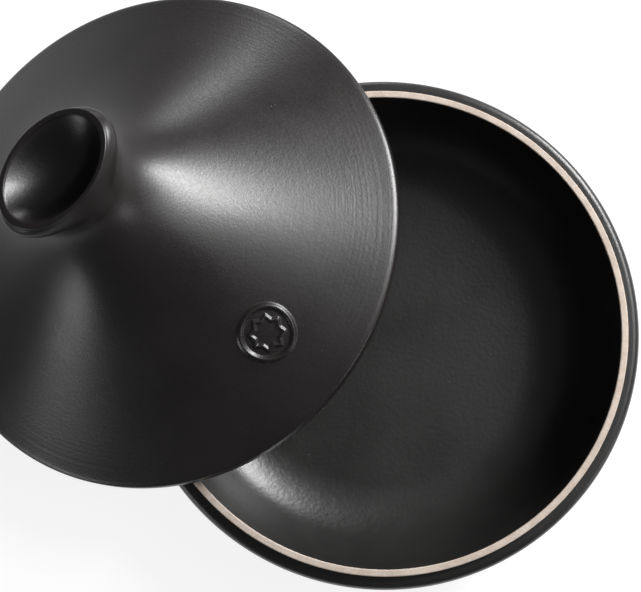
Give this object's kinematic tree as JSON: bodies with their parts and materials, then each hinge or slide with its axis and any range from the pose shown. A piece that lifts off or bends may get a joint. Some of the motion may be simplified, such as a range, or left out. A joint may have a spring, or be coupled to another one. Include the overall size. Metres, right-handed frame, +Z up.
{
  "type": "tagine",
  "caption": "Round black-glazed ceramic tagine: a shallow cooking dish with a bare clay lip, and its tall hollow conical lid with an oval cup knob, taken off and leaned on the dish.",
  "frame": {"origin": "middle of the dish's foot, on the table that the dish stands on", "axes": "+Z up along the dish's axis; the lid leans at the -X, +Y side with its raised edge over the dish"},
  "size_m": [0.4607, 0.3828, 0.1931],
  "materials": {
    "black_glaze": "satin black glaze with a fine orange-peel surface",
    "bare_clay": "unglazed pale clay, matt and slightly grainy, on the top of the dish's lip and under the lid's rim"
  },
  "bodies": {
    "dish": {"dish": "black_glaze"},
    "lid": {"lid": "black_glaze"}
  },
  "joints": [
    {"name": "lid_lift", "type": "slide", "parent": "dish", "child": "lid", "axis": [0, 0, 1], "range_m": [0, 0.2]}
  ]
}
